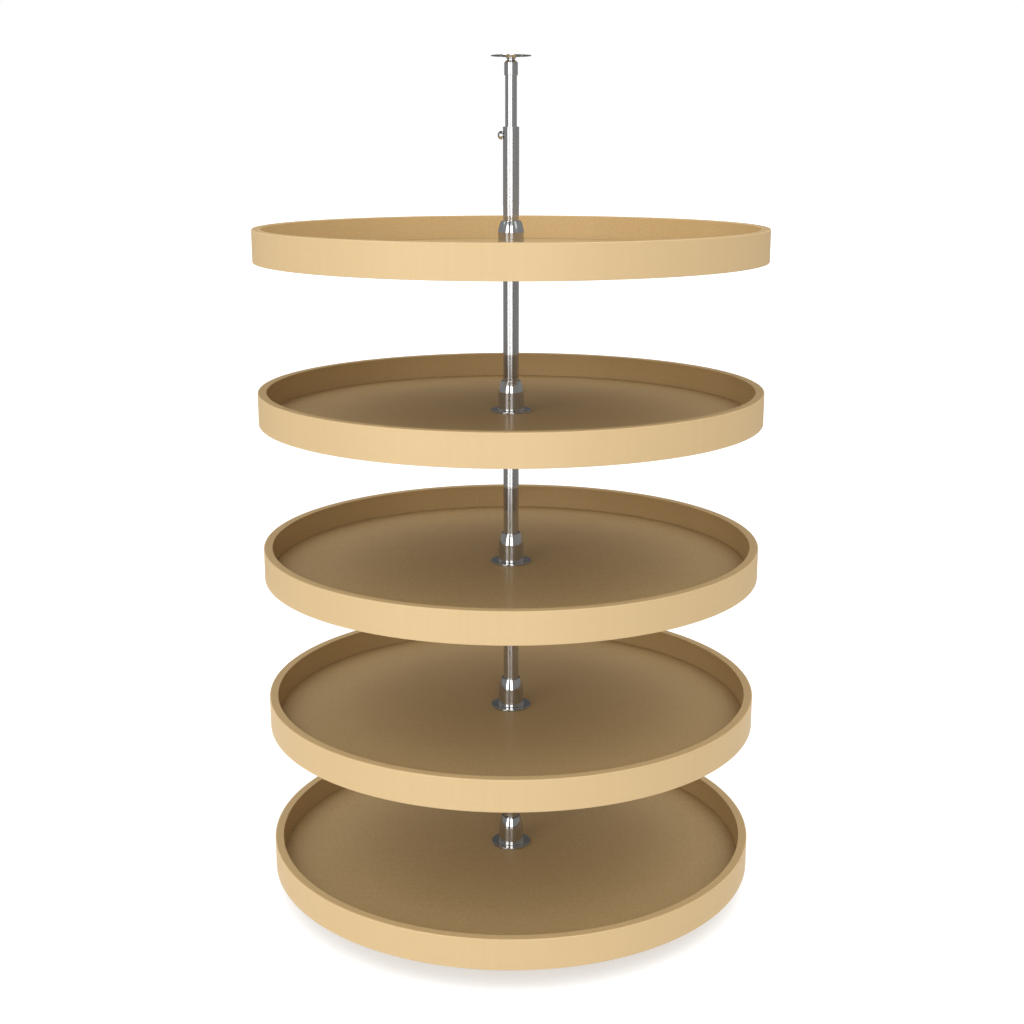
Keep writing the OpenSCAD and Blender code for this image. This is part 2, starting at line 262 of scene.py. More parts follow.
# %% Floor maple
# both floor tones hold painted shade, darker than the wood's own colour, as the tray above would shade it
FLOOR_LIGHT = (0.485, 0.342, 0.162)
FLOOR_DARK = (0.385, 0.262, 0.118)
FLOOR_SPECKS = (320.0, 320.0, 320.0)   # patches a metre along X, Y and Z
FLOOR_GRAIN = (2.2, 150.0, 2.0)
FLOOR_CLOUDS = (7.0, 7.0, 7.0)


def floor_maple():
    """Specks, grain along X and broad clouds, all between two tones of the wood that are darkened by painted
    shade.
    """
    made, shader = finish("floor_maple", Roughness=0.5, Specular_IOR_Level=0.2,
                          Coat_Weight=0.08, Coat_Roughness=0.12)
    tree = made.node_tree
    place = wired(tree, "ShaderNodeTexCoord").outputs["Object"]
    specks = noise(tree, place, FLOOR_SPECKS, detail=3.0, roughness=0.7)
    grain = noise(tree, place, FLOOR_GRAIN, detail=4.0)
    clouds = noise(tree, place, FLOOR_CLOUDS, detail=2.0)
    wood = stained(tree, FLOOR_LIGHT, specks, 1.0, FLOOR_DARK)
    wood = stained(tree, wood, grain, 0.25, FLOOR_DARK)
    wood = stained(tree, wood, clouds, 0.15, FLOOR_DARK)
    tree.links.new(wood, shader.inputs["Base Color"])
    tree.links.new(remap(tree, specks, 0.50, 0.60), shader.inputs["Roughness"])
    embossed(tree, shader, specks, strength=0.1, depth=0.04 * MM)
    return made


finishes["floor_wood"] = floor_maple()

# %% [markdown]
# ## Chrome, steel, nylon and brass
# Polished chrome is almost a mirror, so what it reflects is what it looks like. One even mirror looks
# too clean, though. So the chrome has two layers: a clear, sharp coat, and under it a finely turned
# metal whose lines run round the piece and blur its reflections up and down. Zinc plate is duller and
# slightly cloudy. The nylon bearings have the soft sheen of moulded plastic.

# %% Metals and plastics
TARNISH = 0.94           # the least share of its colour that a metal drifts down to


def metal(name, colour, smooth, dull, patches, relief, **constants):
    """A metal whose roughness drifts between smooth and dull, in so many patches a metre each way."""
    made, shader = finish(name, Metallic=1.0, **constants)
    tree = made.node_tree
    place = wired(tree, "ShaderNodeTexCoord").outputs["Object"]
    drift = remap(tree, noise(tree, place, patches), 0.0, 1.0)
    darker = tuple(TARNISH * part for part in colour)
    tree.links.new(tinted(tree, drift, colour, darker), shader.inputs["Base Color"])
    tree.links.new(remap(tree, drift, smooth, dull, 0.0, 1.0), shader.inputs["Roughness"])
    if relief:
        embossed(tree, shader, drift, strength=0.15, depth=relief)
    return made


NYLON_LIGHT = (0.80, 0.785, 0.74)
NYLON_DARK = (0.76, 0.745, 0.69)
NYLON_PATCHES = (900.0, 900.0, 900.0)


def nylon():
    """Natural moulded nylon: a soft sheen, and a little light that passes under its skin."""
    made, shader = finish("moulded_nylon", Roughness=0.42, IOR=1.53,
                          Subsurface_Weight=0.15, Subsurface_Scale=2 * MM)
    tree = made.node_tree
    place = wired(tree, "ShaderNodeTexCoord").outputs["Object"]
    cloud = remap(tree, noise(tree, place, NYLON_PATCHES), 0.0, 1.0)
    tree.links.new(tinted(tree, cloud, NYLON_LIGHT, NYLON_DARK), shader.inputs["Base Color"])
    tree.links.new(remap(tree, cloud, 0.38, 0.48, start=0.0, end=1.0), shader.inputs["Roughness"])
    embossed(tree, shader, cloud, strength=0.1, depth=0.02 * MM)
    return made


finishes["chrome"] = metal(
    "polished_chrome", (0.40, 0.405, 0.405), smooth=0.18, dull=0.20, patches=(30.0, 30.0, 900.0), relief=0,
    Anisotropic=1.0, Anisotropic_Rotation=0.25, Coat_Weight=1.0, Coat_Roughness=0.03, Coat_IOR=3.0)
finishes["zinc_steel"] = metal(
    "zinc_plate", (0.63, 0.64, 0.66), smooth=0.28, dull=0.40, patches=(240.0, 240.0, 700.0), relief=0.01 * MM)
finishes["brass"] = metal(
    "brass", (0.78, 0.57, 0.28), smooth=0.22, dull=0.34, patches=(500.0, 500.0, 500.0), relief=0.01 * MM)
finishes["black_steel"] = metal(
    "black_oxide", (0.055, 0.055, 0.06), smooth=0.32, dull=0.46, patches=(800.0, 800.0, 800.0),
    relief=0.01 * MM)
finishes["nylon"] = nylon()
print("finishes:", ", ".join(finishes))

# %% [markdown]
# ## A surface from a grid of points
# A turned or bent piece closes on itself both ways: round the axis, and round its own outline. Such a
# piece is a grid of points whose last row meets the first. Where the outline touches the axis, a whole
# column of points falls into one, so equal points are welded and a face that loses a corner becomes a
# triangle. Working on whole arrays keeps this fast, and the UV map is laid on the grid before it is
# welded.

# %% Grid to mesh
WELD = 8                 # points that agree to this many decimals of a metre are one


def surface(name, points, u, v):
    """A closed surface through a grid of points, rows running round the axis and columns along the outline.
    Face i, j joins rows i and i + 1 with columns j and j + 1; the last row and column lead back to the first.
    u and v are the metres walked to each row and column, with one value more for the way back."""
    rows, cols = points.shape[:2]
    i, j = np.meshgrid(np.arange(rows), np.arange(cols), indexing="ij")
    corners = ((i, j), (i + 1, j), (i + 1, j + 1), (i, j + 1))
    index = np.stack([(a % rows) * cols + b % cols for a, b in corners], -1).reshape(-1, 4)
    walked = np.stack([np.stack([u[a], v[b]], -1) for a, b in corners], -2).reshape(-1, 4, 2)
    flat = points.reshape(-1, 3)
    first, same = np.unique(flat.round(WELD), axis=0, return_index=True, return_inverse=True)[1:]
    index = same.reshape(-1)[index]
    corner = index != np.roll(index, 1, axis=1)
    whole = corner.sum(1) > 2
    index, walked, corner = index[whole], walked[whole], corner[whole]
    mesh = bpy.data.meshes.new(name)
    mesh.vertices.add(len(first))
    mesh.vertices.foreach_set("co", flat[first].astype(np.float32).ravel())
    mesh.loops.add(int(corner.sum()))
    mesh.loops.foreach_set("vertex_index", index[corner].astype(np.int32))
    mesh.polygons.add(len(index))
    mesh.polygons.foreach_set("loop_start", (np.cumsum(corner.sum(1)) - corner.sum(1)).astype(np.int32))
    mesh.uv_layers.new(name="UVMap").data.foreach_set("uv", walked[corner].astype(np.float32).ravel())
    mesh.update(calc_edges=True)
    mesh.validate()
    return shaded(linked(name, mesh))


def linked(name, mesh):
    """A new object in the scene, at the origin, with this mesh."""
    piece = bpy.data.objects.new(name, mesh)
    bpy.context.scene.collection.objects.link(piece)
    return piece


def shaded(piece, crease=35.0):
    """Smooth shading that stops at edges sharper than the crease, in degrees."""
    piece.data.shade_smooth()
    piece.data.set_sharp_from_angle(angle=math.radians(crease))
    return piece

# %% [markdown]
# ## Outlines with rounded corners
# No edge on a real piece is perfectly sharp, and the thin light line along an edge is what makes it
# look made. So an outline is given by its corners, each with its own rounding, and the arcs are worked
# out from them. One more point is set just past each end of an arc: it holds the flat sides flat when
# the shading is smoothed.

# %% Rounded outlines
HOLD = 0.06 * MM         # how far past an arc the holding point lies


def rounded(corners, steps=5):
    """Points along a closed outline, anticlockwise, with radius to the right and height up.
    A corner is (radius, height) or (radius, height, rounding). A rounding r starts r / tan(half the angle)
    from the corner on both sides, round a centre on the corner's bisector."""
    spots = np.array([corner[:2] for corner in corners], float)
    points = []
    for k, corner in enumerate(corners):
        here = spots[k]
        if len(corner) == 2:
            points.append(here)
            continue
        sides = (spots[k - 1] - here, spots[(k + 1) % len(spots)] - here)
        back, ahead = (side / np.linalg.norm(side) for side in sides)
        half = math.acos(np.clip(back @ ahead, -1, 1)) / 2
        start = corner[2] / math.tan(half)
        centre = here + (back + ahead) / np.linalg.norm(back + ahead) * corner[2] / math.sin(half)
        first, last = (math.atan2(*(here + side * start - centre)[::-1]) for side in (back, ahead))
        turn = (last - first + math.pi) % (2 * math.pi) - math.pi
        angle = first + turn * np.linspace(0, 1, steps + 1)
        arc = centre + corner[2] * np.stack([np.cos(angle), np.sin(angle)], -1)
        points += [here + back * (start + HOLD), *arc, here + ahead * (start + HOLD)]
    return np.array(points)


def walked_along(outline):
    """Metres walked along a closed outline to each point, and back to the first."""
    steps = np.linalg.norm(np.roll(outline, -1, axis=0) - outline, axis=1)
    return np.concatenate([[0.0], np.cumsum(steps)])

# %% [markdown]
# ## Turned pieces
# A lathe makes a piece by turning its outline round an axis. A thread is cut on the same lathe: while
# the piece turns once, the cutter moves on by one pitch. In numbers, the radius then dips by an amount
# that depends on height divided by pitch, less the part of a turn made so far.

# %% Lathe
NEAR = 1e-6              # radii that differ by less, in metres, are the same


def turned(name, outline, around=192, thread=None):
    """The point at angle a and outline point (r, z) is (r cos a, r sin a, z).
    thread is (lowest height, highest height, pitch, depth): there the radius is less by the depth times a
    triangle wave of z / pitch - a / full turn, so the groove climbs one pitch a turn."""
    outline = np.asarray(outline, float)
    angle = np.linspace(0, 2 * math.pi, around + 1)
    r = np.tile(outline[:, 0], (around, 1))
    z = np.tile(outline[:, 1], (around, 1))
    a = angle[:-1, None]
    if thread:
        low, high, pitch, depth = thread
        wave = np.abs((z / pitch - a / (2 * math.pi)) % 1 * 2 - 1)
        level = (z > low) & (z < high)
        outside = r > r.max(where=level, initial=0) - NEAR
        r = r - np.where(level & outside, depth * wave, 0)
    points = np.stack([r * np.cos(a), r * np.sin(a), z], -1)
    return surface(name, points, angle * outline[:, 0].max(), walked_along(outline))


def stands_for(piece, node, slot):
    """The piece takes the node's place: its body and its finish, and the node is hidden."""
    piece.data.materials.clear()
    piece.data.materials.append(finishes[slot])
    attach(piece, home[node])
    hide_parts(node)
    spots = np.array([vertex.co for vertex in piece.data.vertices])
    low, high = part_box(node)
    off = max(np.abs(spots.min(0) - low).max(), np.abs(spots.max(0) - high).max())
    print(f"{piece.name}: {len(spots)} points, box within {off / MM:.2f} mm of {node}")
    return piece

# %% [markdown]
# ## The bent rims
# Each rim is one strip whose ends are planed to a long taper and glued over each other, a scarf joint.
# Outside, the joint is a fine upright line; on the top edge it is a long slanting one; inside, it comes
# out further round. To draw it, the grid itself leans near the joint: a row of points starts at one
# angle outside and ends at another inside. One row then lies exactly on the glue line, and a shallow
# groove can follow it. A line painted on an upright grid would cross its rows and break into steps. The
# joints come out just behind the right and left sides, away from the front.

# %% Rims
RIM_T = 14.5 * MM        # thickness of the band
RIM_ROUND = 1.5 * MM     # rounding of the top edges
REBATE = 5.0 * MM        # how far the floor runs into the band
SCARF = 120.0 * MM       # length of the taper in the joint
JOINT_W = 0.25 * MM      # half width of the glue line's groove
JOINT_DEEP = 0.12 * MM   # depth of the groove
LEAN = 0.6               # radians on each side of the joint in which the rows lean
JOINTS = (math.radians(6), math.radians(174))   # the joints outside, just behind the right and left sides
RIM_ROWS = 512           # rows of points round the hoop
GROOVE_ROWS = 17         # more of them close to the joint
GROOVE_REACH = 4         # and how many half widths of the groove these go to each side


def rim(i):
    """The row at angle u and outline point (r, z) lies at angle u + lean(u) * share(r).
    share runs from 0 on the outer face to 1 on the inner one, and lean is the taper's angle, towards the
    front, times a cosine hump that is 1 at the joint and 0 away from it. Near the joint, points move into
    the wood by depth * exp(-(distance / width)^2)."""
    outer, bottom, top = reach(f"rim_{i}")
    inner = outer - RIM_T
    outline = rounded([
        (inner + REBATE, bottom, BREAK), (outer, bottom, EDGE), (outer, top, RIM_ROUND),
        (inner, top, RIM_ROUND), (inner, floor_top[i], BREAK), (inner + REBATE, floor_top[i])])
    joint = JOINTS[i % 2]
    side = math.copysign(1.0, math.cos(joint))
    fine = joint + np.linspace(-GROOVE_REACH, GROOVE_REACH, GROOVE_ROWS) * JOINT_W / outer
    u = np.union1d(np.linspace(0, 2 * math.pi, RIM_ROWS, endpoint=False), fine)
    away = (u - joint + math.pi) % (2 * math.pi) - math.pi
    hump = np.where(np.abs(away) < LEAN, 0.5 + 0.5 * np.cos(np.clip(away / LEAN, -1, 1) * math.pi), 0.0)
    share = np.clip((outer - outline[:, 0]) / RIM_T, 0, 1)
    angle = u[:, None] - side * SCARF / outer * hump[:, None] * share
    ahead = np.roll(outline, -1, axis=0) - np.roll(outline, 1, axis=0)
    inward = np.stack([-ahead[:, 1], ahead[:, 0]], -1) / np.linalg.norm(ahead, axis=1, keepdims=True)
    groove = JOINT_DEEP * np.exp(-(away * outer / JOINT_W) ** 2)[:, None]
    r = outline[:, 0] + groove * inward[:, 0]
    z = outline[:, 1] + groove * inward[:, 1]
    points = np.stack([r * np.cos(angle), r * np.sin(angle), z], -1)
    return surface(f"rim_band_{i}", points, np.append(u, u[0] + 2 * math.pi) * outer, walked_along(outline))


for i in TRAYS:
    stands_for(rim(i), f"rim_{i}", "rim_wood")

# %% [markdown]
# ## The tray floors
# A floor is a flat disc with a hole for the hub's spigot. It lies in the rim's rebate, so only its
# faces show. A plain cylinder with a bevel could stand for it, but the lathe is at hand and breaks its
# edges in the same step.

# %% Tray floors
SPIGOT_R = 20.0 * MM     # radius of the threaded spigot under a hub


def tray_floor(i):
    """A flat ring between the spigot's hole and the rebate, with its edges just broken."""
    outer, bottom, top = reach(f"tray_floor_{i}")
    hole = SPIGOT_R + PASS
    return turned(f"floor_panel_{i}", rounded([
        (hole, bottom, BREAK), (outer, bottom, BREAK), (outer, top, BREAK), (hole, top, BREAK)]), around=360)


for i in TRAYS:
    stands_for(tray_floor(i), f"tray_floor_{i}", "floor_wood")

# %% [markdown]
# ## The hubs
# The hub is one chromed casting: a flange that rests on the floor, a straight body, a nose that draws
# in towards the pole, and under the floor a threaded spigot for the ring nut. Stacked cylinders and a
# cone would give the outline but not the reflections, and on chrome these are what shows. So it is one
# outline: the nose starts gently and steepens, which bends its mirrored strips and parts them from the
# body's along a crisp line.

# %% Hubs
HUB_R, HUB_H = 21.0 * MM, 32.6 * MM           # straight body: radius, and height above the floor
NOSE_R, NOSE_H = 15.9 * MM, 17.8 * MM         # nose: radius at its top, and height
NOSE_BOW = 0.45                               # how far the nose curves from a plain cone
NOSE_STEPS = 12
FLANGE_T = 3.0 * MM
FILLET = 1.2 * MM                             # where the body meets the flange
BUSH_R = 16.0 * MM                            # bearing bush in the hub
BUSH_BELOW_NOSE = 8.0 * MM                    # the bush ends this far below the nose's top
SPIGOT_PITCH, SPIGOT_DEEP = 1.5 * MM, 0.5 * MM   # the spigot's thread
TURN_STEPS = 12                               # points to each of its turns


def hub(i):
    """At the share t of its height the nose is narrower by (body - top) * ((1 - bow) * t + bow * t * t)."""
    flange_r, low, high = reach(f"hub_{i}")
    base = floor_top[i]
    t = np.linspace(0, 1, NOSE_STEPS + 1)[1:, None]
    narrower = (HUB_R - NOSE_R) * ((1 - NOSE_BOW) * t + NOSE_BOW * t * t)
    nose = np.hstack([HUB_R - narrower, base + HUB_H + (NOSE_H - EDGE) * t])
    thread_top = base - floor_thick
    thread_z = np.arange(low + 2 * BREAK, thread_top, SPIGOT_PITCH / TURN_STEPS)
    outline = rounded([
        (BUSH_R + SEAT, low, BREAK), (SPIGOT_R, low, BREAK), *[(SPIGOT_R, z) for z in thread_z],
        (SPIGOT_R, base), (flange_r, base, BREAK), (flange_r, base + FLANGE_T, EDGE),
        (HUB_R, base + FLANGE_T, FILLET), (HUB_R, base + HUB_H, BREAK), *map(tuple, nose),
        (NOSE_R - BREAK, high, EDGE - BREAK), (pole_r + PASS, high, BREAK),
        (pole_r + PASS, high - BUSH_BELOW_NOSE), (BUSH_R + SEAT, high - BUSH_BELOW_NOSE)])
    return turned(f"hub_casting_{i}", outline, thread=(low + BREAK, thread_top, SPIGOT_PITCH, SPIGOT_DEEP))


for i in TRAYS:
    stands_for(hub(i), f"hub_{i}", "chrome")

# %% [markdown]
# ## Cutting holes
# Some pieces have features that no turning makes: spanner notches, screw holes and hexagon sockets. On
# the bench they are cut afterwards, and here a Boolean takes the cutter's shape out of the turned piece
# in the same way. The cut is applied straight away, and a narrow Bevel breaks the new edges.

# %% Cutting and breaking edges
SHARP = math.radians(50)   # a cut's edge is broken where its faces turn by more than this


def applied(piece):
    """Turns what the modifiers make into the piece's own mesh."""
    shape = piece.evaluated_get(bpy.context.evaluated_depsgraph_get())
    mesh = bpy.data.meshes.new_from_object(shape)
    piece.modifiers.clear()
    piece.data = mesh
    return piece


def cut(piece, cutters, edge):
    """Takes the cutters out of the piece, deletes them and breaks sharp edges by this width."""
    for cutter in cutters:
        step = piece.modifiers.new("cut", "BOOLEAN")
        step.operation = "DIFFERENCE"
        step.solver = "EXACT"
        step.object = cutter
    applied(piece)
    for cutter in cutters:
        bpy.data.objects.remove(cutter)
    soft = piece.modifiers.new("edge", "BEVEL")
    soft.width = edge
    soft.segments = 2
    soft.limit_method = "ANGLE"
    soft.angle_limit = SHARP
    return shaded(applied(piece))


def drill(radius, start, end, sides=64, turn=Matrix.Identity(4)):
    """A rod along Z between two heights, with this many sides, then turned into place."""
    rod = turned("cutter", [(0, start), (radius, start), (radius, end), (0, end)], around=sides)
    rod.data.transform(turn)
    return rod


def across_corners(flats):
    """Radius to the corners of a hexagon that is this wide across its flats."""
    return flats / 2 / math.cos(math.pi / 6)

# %% [markdown]
# ## Bearings, ring nuts and collars
# Under each tray sits what carries it. The nylon bush turns on the pole and its flange turns on the
# collar; the ring nut pulls the hub down on the floor, and has six notches for a spanner; the collar is
# clamped by a grub screw with a hexagon socket, at the back. All of them are turned first, and then cut
# where turning can't reach.

# %% Pieces under a tray
NUT_R, NUT_CHAMFER = 30.0 * MM, 0.8 * MM      # the notches cut into its box, so the radius is named
NOTCHES, NOTCH_W, NOTCH_DEEP = 6, 6.0 * MM, 3.5 * MM
COLLAR_CHAMFER = 1.0 * MM
GRUB_R, GRUB_PITCH, GRUB_DEEP = 3.0 * MM, 1.0 * MM, 0.35 * MM   # grub screw: radius, pitch, depth of thread
GRUB_STEP = 0.1 * MM                          # height between two points of its thread
GRUB_SOCKET, GRUB_SOCKET_DEEP = 3.0 * MM, 3.5 * MM
OVER = 1.0 * MM          # how far a cutter runs past the face that it opens
TO_BACK = Matrix.Rotation(-math.pi / 2, 4, "X")   # turns the Z axis to +Y, the back


def bush(i):
    """A sleeve with a flange at its lower end."""
    flange_r, low, high = reach(f"hub_bush_{i}")
    spigot_bottom = reach(f"hub_{i}")[1]
    bore = pole_r + RUNNING
    return turned(f"nylon_bush_{i}", rounded([
        (bore, low, BREAK), (flange_r, low, BREAK), (flange_r, spigot_bottom, BREAK), (BUSH_R, spigot_bottom),
        (BUSH_R, high, BREAK), (bore, high, BREAK)]))


def notch(angle, radius, low, high):
    """A slot's cutter: four corners round a centre line at this angle, from the notch's floor outwards."""
    out = np.array([radius - NOTCH_DEEP, radius + OVER])[[0, 1, 1, 0]]
    across = np.array([-0.5, -0.5, 0.5, 0.5]) * NOTCH_W
    outwards = np.array([math.cos(angle), math.sin(angle)])
    sideways = np.array([-math.sin(angle), math.cos(angle)])
    plan = np.outer(out, outwards) + np.outer(across, sideways)
    points = np.array([[*spot, z] for z in (low, high) for spot in plan])
    faces = [(3, 2, 1, 0), (4, 5, 6, 7), *[(k, (k + 1) % 4, (k + 1) % 4 + 4, k + 4) for k in range(4)]]
    mesh = bpy.data.meshes.new("cutter")
    mesh.from_pydata(points.tolist(), [], faces)
    return linked("cutter", mesh)


def ring_nut(i):
    """A flat ring, chamfered below, less its six notches."""
    low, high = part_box(f"ring_nut_{i}")
    bore, bottom, top = SPIGOT_R + SEAT, low.z, high.z
    ring = turned(f"notched_nut_{i}", [
        (bore, bottom), (NUT_R - NUT_CHAMFER, bottom), (NUT_R, bottom + NUT_CHAMFER), (NUT_R, top),
        (bore, top)])
    cutters = [notch(k * 2 * math.pi / NOTCHES, NUT_R, bottom - OVER, top + OVER) for k in range(NOTCHES)]
    return cut(ring, cutters, edge=0.3 * MM)


def collar(i):
    """A thick ring, chamfered on its outer edges, with a hole towards the back for the grub screw."""
    radius, low, high = reach(f"collar_{i}")
    bore = pole_r + RUNNING
    ring = turned(f"clamp_collar_{i}", [
        (bore, low), (radius - COLLAR_CHAMFER, low), (radius, low + COLLAR_CHAMFER),
        (radius, high - COLLAR_CHAMFER), (radius - COLLAR_CHAMFER, high), (bore, high)])
    turn = Matrix.Translation((0, 0, (low + high) / 2)) @ TO_BACK
    return cut(ring, [drill(GRUB_R + SEAT, 0, radius + OVER, sides=48, turn=turn)], edge=0.25 * MM)


def grub_screw(i):
    """A short threaded rod with a hexagon socket, drawn upright and then turned to the back."""
    low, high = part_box(f"collar_screw_{i}")
    tip, end = low.y, high.y
    z = np.arange(tip + 4 * BREAK, end - 4 * BREAK, GRUB_STEP)
    outline = rounded([(0, tip), (GRUB_R, tip, 2 * BREAK), *[(GRUB_R, at) for at in z],
                       (GRUB_R, end, 2 * BREAK), (0, end)])
    rod = turned(f"grub_screw_{i}", outline, around=64,
                 thread=(tip + 3 * BREAK, end - 3 * BREAK, GRUB_PITCH, GRUB_DEEP))
    socket = drill(across_corners(GRUB_SOCKET), end - GRUB_SOCKET_DEEP, end + OVER, sides=6)
    cut(rod, [socket], edge=0.1 * MM)
    rod.data.transform(Matrix.Translation((0, 0, (low.z + high.z) / 2)) @ TO_BACK)
    return rod


for i in TRAYS:
    stands_for(bush(i), f"hub_bush_{i}", "nylon")
    stands_for(ring_nut(i), f"ring_nut_{i}", "zinc_steel")
    stands_for(collar(i), f"collar_{i}", "zinc_steel")
    stands_for(grub_screw(i), f"collar_screw_{i}", "black_steel")

# %% [markdown]
# ## The pole and its foot
# The pole is a plain chromed tube. Two rings of points close above and below the lock screw's hole keep
# the faces round the hole short, because a long face that a Boolean has cut shades badly. The foot
# turns on a plate that is screwed to the cabinet's floor, and a nylon washer lies between them.

# %% Pole, foot plug, washer and base plate
POLE_WALL = 1.5 * MM
LOCK_SHANK_R = 3.0 * MM
lock_low, lock_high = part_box("lock_screw")
lock_z = (lock_low.z + lock_high.z) / 2
TO_LEFT = Matrix.Translation((0, 0, lock_z)) @ Matrix.Rotation(-math.pi / 2, 4, "Y")   # Z to -X, at the screw
HOLE_CLEAR = 5.0 * MM    # from the lock screw's axis to the rings of points
BASE_T = 3.0 * MM        # thickness of the base plate beside its boss
BOSS_R, RIVET_R, PIVOT_R = 15.0 * MM, 4.0 * MM, 6.0 * MM   # the boss, the riveted ends, the pivots
PLUG_ROOF = 4.0 * MM     # what closes the foot plug's bore
HOLE_R = 2.3 * MM        # screw holes of both plates
BASE_PITCH_R, TOP_PITCH_R = 34.0 * MM, 23.0 * MM           # and their pitch circles
HOLE_ANGLES = [math.radians(45 + 90 * k) for k in range(4)]


def pole():
    """A tube: two upright walls joined by narrow rounded ends."""
    inner = pole_r - POLE_WALL
    rings = (lock_z - HOLE_CLEAR, lock_z + HOLE_CLEAR)
    outline = rounded([
        (inner, pole_bottom, BREAK), (pole_r, pole_bottom, BREAK), *[(pole_r, z) for z in rings],
        (pole_r, pole_top, 2 * BREAK), (inner, pole_top, 2 * BREAK), *[(inner, z) for z in rings[::-1]]])
    hole = drill(LOCK_SHANK_R + RUNNING, 0, pole_r + OVER, sides=48, turn=TO_LEFT)
    return cut(turned("chrome_pole", outline, around=256), [hole], edge=0.1 * MM)


def screw_holes(pitch_r, low, high):
    """Cutters for four holes on a pitch circle."""
    spots = [(pitch_r * math.cos(a), pitch_r * math.sin(a), 0) for a in HOLE_ANGLES]
    return [drill(HOLE_R, low - OVER, high + OVER, sides=48, turn=Matrix.Translation(spot)) for spot in spots]


def base_plate():
    """A disc with a boss in its middle; the pivot stud is riveted in the boss's bore."""
    radius, low, high = reach("base_plate")
    disc = turned("base_disc", rounded([
        (RIVET_R + SEAT, low), (radius, low, BREAK), (radius, BASE_T, EDGE), (BOSS_R, BASE_T, EDGE),
        (BOSS_R, high, 2 * BREAK), (RIVET_R + SEAT, high, BREAK)]), around=256)
    return cut(disc, screw_holes(BASE_PITCH_R, low, BASE_T), edge=0.2 * MM)


def foot_plug():
    """A flanged plug, bored from below for the stud."""
    flange_r, low, high = reach("foot_plug")
    bore, body = PIVOT_R + RUNNING, pole_r - POLE_WALL - SEAT
    return turned("foot_plug_turned", rounded([
        (bore, low, BREAK), (flange_r, low, 2 * BREAK), (flange_r, pole_bottom, BREAK), (body, pole_bottom),
        (body, high, BREAK), (0, high), (0, high - PLUG_ROOF), (bore, high - PLUG_ROOF)]))


def thrust_washer():
    """A thin nylon ring on the boss. Its top stays just clear of the plug that turns on it."""
    outer, low, high = reach("thrust_washer")
    bore, top = PIVOT_R + RUNNING, high - SEAT
    return turned("nylon_washer", rounded([
        (bore, low), (outer, low, BREAK), (outer, top, BREAK), (bore, top, BREAK)]))


stands_for(pole(), "pole_tube", "chrome")
stands_for(base_plate(), "base_plate", "chrome")
stands_for(foot_plug(), "foot_plug", "zinc_steel")
stands_for(thrust_washer(), "thrust_washer", "nylon")

# %% [markdown]
# ## The telescoping end and the top mount
# The thinner tube slides in the pole and ends in a chromed cap. Above the cap a pivot pin flares out
# under the round plate that is screwed to the cabinet's top. The flare is a cone with a rounded foot.
# Each piece is one more outline for the lathe, and only the plate is drilled afterwards.

# %% Extension tube, end cap, pivot pin and top plate
EXT_WALL = 1.2 * MM
FINE = 0.1 * MM          # rounding of thin edges
CAP_TAPER, CAP_TOP_R, CAP_CHAMFER = 3.6 * MM, 7.0 * MM, 0.6 * MM
MOUTH_GAP = 0.3 * MM     # round the pin where it leaves the cap
FLARE_H, PIN_LEAD = 4.5 * MM, 1.0 * MM
FLARE_STEPS, FLARE_FIRST = 10, 4   # steps up the flare, and the first one past its rounded foot
PLATE_ROUND = 0.4 * MM   # rounding of the top plate's lower edge


def extension():
    """The sliding tube."""
    outer, low, high = reach("extension_tube")
    inner = outer - EXT_WALL
    return turned("chrome_extension", rounded([
        (inner, low, BREAK), (outer, low, BREAK), (outer, high, BREAK), (inner, high, BREAK)]), around=256)


def end_cap():
    """A cup with a small chamfer below, a straight side and a tapered top."""
    outer, low, high = reach("end_cap")
    shoulder, bore, mouth = high - CAP_TAPER, reach("extension_tube")[0] + SEAT, PIVOT_R + MOUTH_GAP
    return turned("chrome_end_cap", rounded([
        (bore, low, FINE), (outer - CAP_CHAMFER, low, FINE), (outer, low + CAP_CHAMFER, BREAK),
        (outer, shoulder, 2 * BREAK), (CAP_TOP_R, high, BREAK), (mouth, high, FINE), (mouth, shoulder),
        (bore, shoulder)]))


def pivot_pin():
    """A pin whose root flares along a straight line up to the plate, then its riveted end."""
    flare_r, low, high = reach("top_pivot_pin")
    plate_bottom = reach("top_plate")[1]
    foot = plate_bottom - FLARE_H
    t = np.linspace(0, 1, FLARE_STEPS + 1)[:, None]
    flare = np.hstack([PIVOT_R + (flare_r - PIVOT_R) * t, foot + FLARE_H * t])
    return turned("pivot_pin_flared", rounded([
        (0, low), (PIVOT_R - PIN_LEAD, low), (PIVOT_R, low + PIN_LEAD, BREAK), (PIVOT_R, foot, 2 * EDGE),
        *map(tuple, flare[FLARE_FIRST:]), (RIVET_R, plate_bottom), (RIVET_R, high, BREAK), (0, high)]))


def top_plate():
    """A thin disc, rounded below, with the pin's bore and four screw holes."""
    radius, low, high = reach("top_plate")
    bore = RIVET_R + SEAT
    disc = turned("top_disc", rounded([
        (bore, low), (radius, low, PLATE_ROUND), (radius, high, FINE), (bore, high)]), around=256)
    return cut(disc, screw_holes(TOP_PITCH_R, low, high), edge=FINE)


stands_for(extension(), "extension_tube", "chrome")
stands_for(end_cap(), "end_cap", "chrome")
stands_for(pivot_pin(), "top_pivot_pin", "chrome")
stands_for(top_plate(), "top_plate", "chrome")

# %% [markdown]
# ## The lock screw
# The screw clamps the extension. Its head is a polished dome with a hexagon socket, and its shank is
# threaded. It is turned upright, like everything else, and then its mesh is laid on its side, at the
# height of the hole in the pole.

